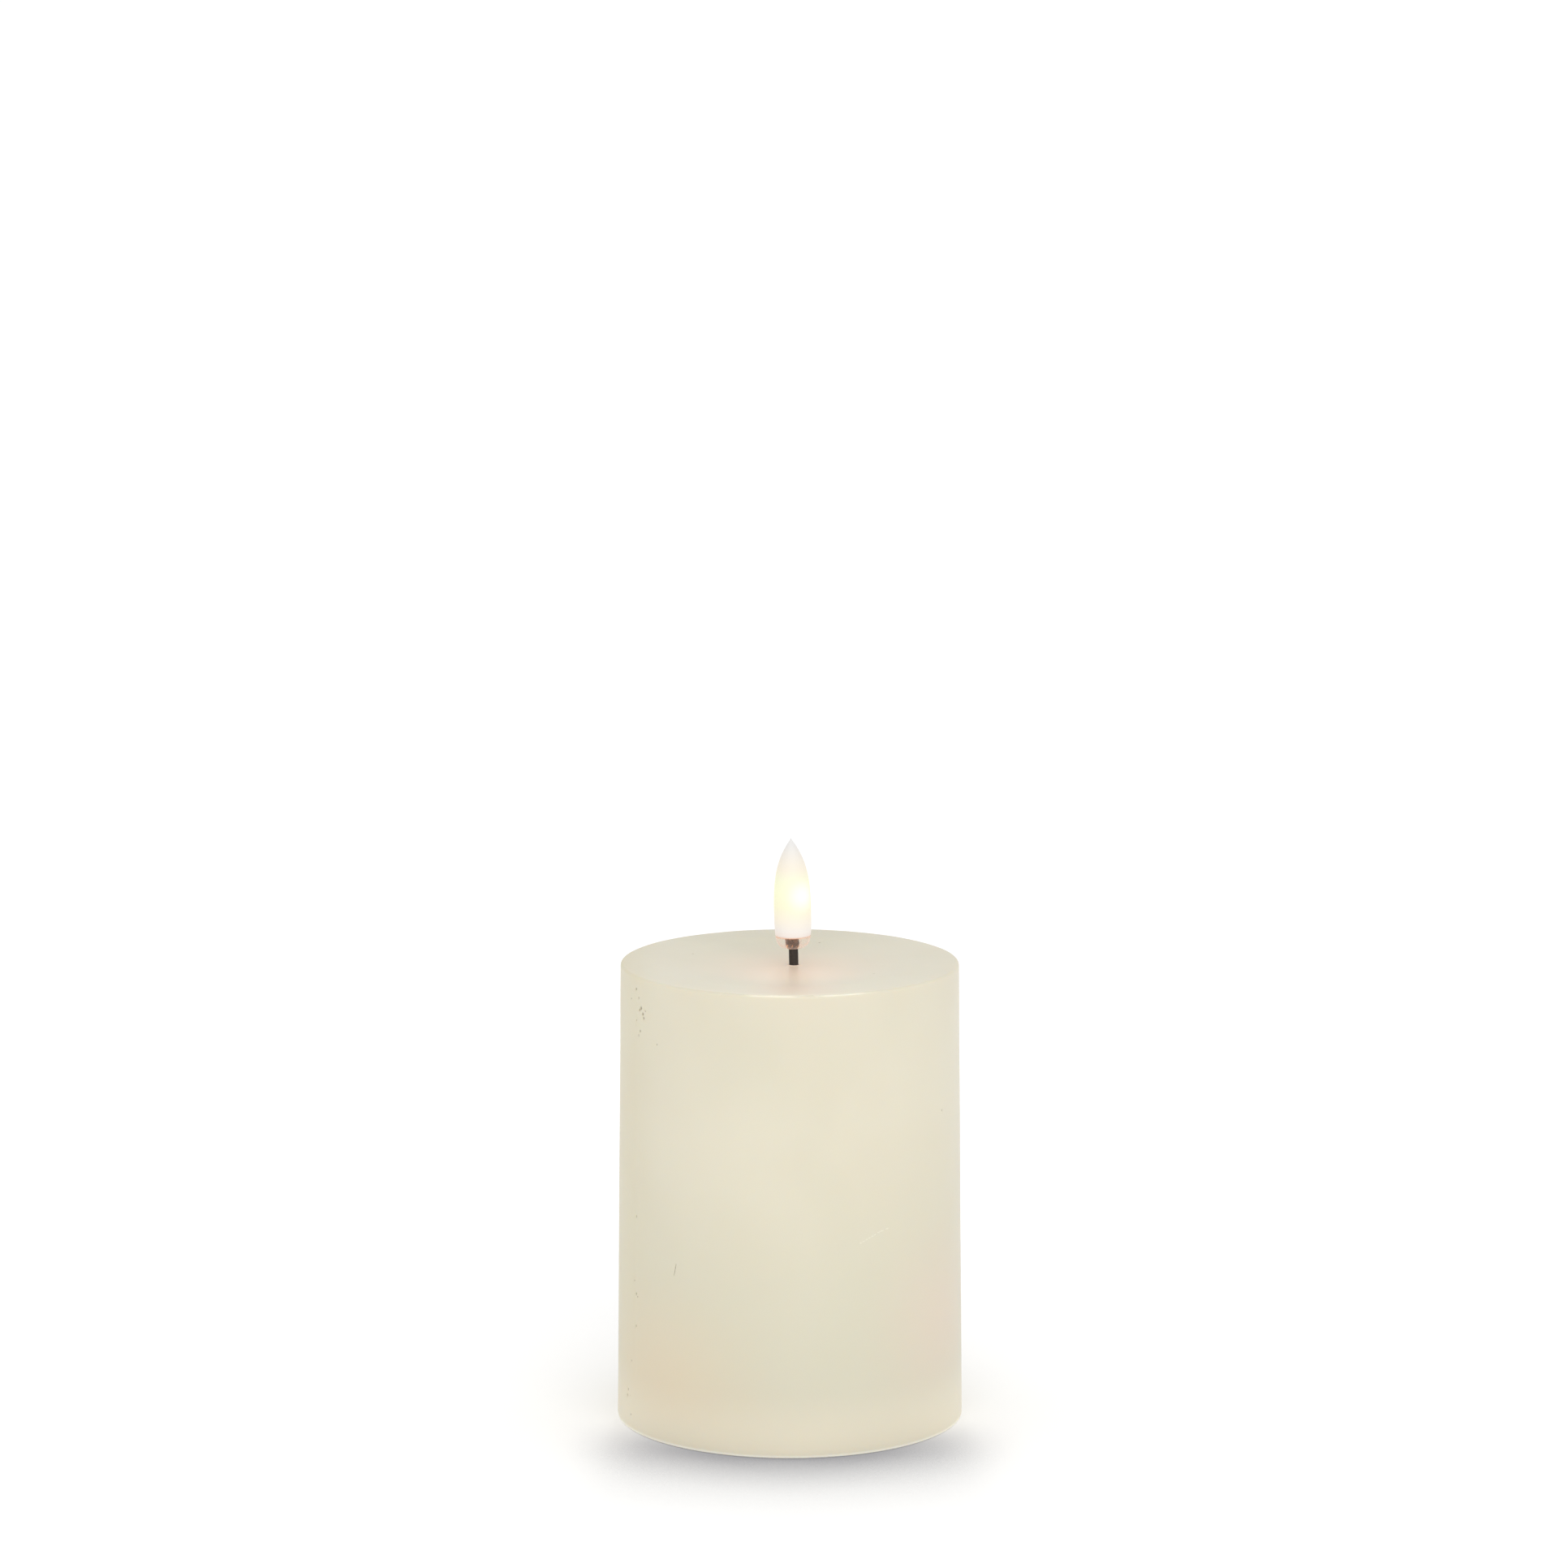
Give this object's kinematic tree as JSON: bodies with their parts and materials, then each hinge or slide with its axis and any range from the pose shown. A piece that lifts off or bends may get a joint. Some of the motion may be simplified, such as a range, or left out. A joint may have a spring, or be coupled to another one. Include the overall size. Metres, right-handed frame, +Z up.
{
  "type": "flameless led candle",
  "caption": "Ivory wax pillar candle with a flame-shaped LED bulb on a black wick, over a battery base with a hinged door and a slide switch.",
  "frame": {"origin": "centre of the round foot that the candle stands on, at the bottom of its bounding box", "axes": "+Z up along the candle, +X across the battery bay to the contact end, -Y to the front, where the slide switch is under the base"},
  "size_m": [0.075, 0.075, 0.1268],
  "materials": {
    "wax": "ivory paraffin wax, satin, slightly translucent",
    "core_plastic": "moulded ivory ABS, matt",
    "base_plastic": "moulded ivory ABS, fine spark texture",
    "screw_steel": "zinc-plated steel",
    "cell_can": "printed foil jacket over a steel can",
    "contact_steel": "nickel-plated spring steel",
    "board_laminate": "green solder mask over glass-fibre laminate",
    "black_plastic": "moulded black plastic",
    "can_metal": "tinned steel",
    "capacitor_sleeve": "shrunk dark blue sleeve on an aluminium can",
    "ceramic_black": "glazed black ceramic",
    "solder": "bright tin solder",
    "red_wire": "red insulation",
    "black_wire": "black insulation",
    "black_sleeve": "heat-shrunk sleeve",
    "wick_black": "black, like a burnt wick",
    "brown_sleeve": "dark brown sleeve over the joint",
    "clear_epoxy": "water-clear epoxy",
    "clear_plastic": "clear moulded plastic",
    "frosted_plastic": "frosted translucent plastic, lit from inside"
  },
  "bodies": {
    "candle": {"wax_shell": "wax", "core_cup": "core_plastic", "base_plate": "base_plastic", "base_screws": "screw_steel", "battery_cell_a": "cell_can", "battery_cell_b": "cell_can", "positive_contact": "contact_steel", "negative_contact": "contact_steel", "bridge_contact": "contact_steel", "negative_spring": "contact_steel", "bridge_spring": "contact_steel", "circuit_board": "board_laminate", "board_screws": "screw_steel", "controller_chip": "black_plastic", "timing_crystal": "can_metal", "smoothing_capacitor": "capacitor_sleeve", "chip_resistors": "ceramic_black", "solder_joints": "solder", "switch_shell": "can_metal", "switch_base": "black_plastic", "switch_terminals": "contact_steel", "battery_lead_positive": "red_wire", "battery_lead_negative": "black_wire", "led_lead_positive": "red_wire", "led_lead_negative": "black_wire", "heat_shrinks": "black_sleeve", "wick_socket": "core_plastic", "wick_tube": "wick_black", "led_legs": "contact_steel", "led_package": "clear_epoxy", "lead_joint_sleeve": "brown_sleeve", "bulb_collar": "clear_plastic", "flame_bulb": "frosted_plastic"},
    "door": {"battery_door": "base_plastic"},
    "slider": {"switch_slider": "black_plastic"}
  },
  "joints": [
    {"name": "door_hinge", "type": "hinge", "parent": "candle", "child": "door", "pos_m": [0, 0.0156, 0.0012], "axis": [1, 0, 0], "range_deg": [0, 90]},
    {"name": "switch_slide", "type": "slide", "parent": "candle", "child": "slider", "axis": [1, 0, 0], "range_m": [0, 0.004]}
  ]
}
